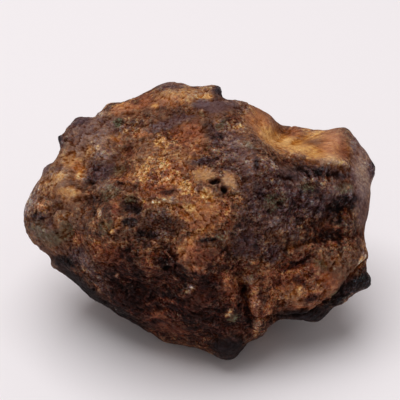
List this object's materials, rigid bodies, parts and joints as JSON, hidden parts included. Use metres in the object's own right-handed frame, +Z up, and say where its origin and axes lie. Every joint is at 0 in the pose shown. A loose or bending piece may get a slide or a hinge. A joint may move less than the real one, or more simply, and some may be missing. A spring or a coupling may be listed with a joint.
{
  "type": "meteorite",
  "caption": "Weathered stony meteorite, an angular rust-brown broken stone with a concave saddle, a blunt lobe and a small flat base.",
  "frame": {"origin": "bottom centre of the stone's box, on the plane that it rests on", "axes": "+X along the stone's longest extent, +Z up, and the broad front face leans back and faces -Y and up"},
  "size_m": [0.0992, 0.0646, 0.0653],
  "materials": {
    "weathered_stone": "matte"
  },
  "bodies": {
    "root": {"meteorite": "weathered_stone"}
  },
  "joints": []
}
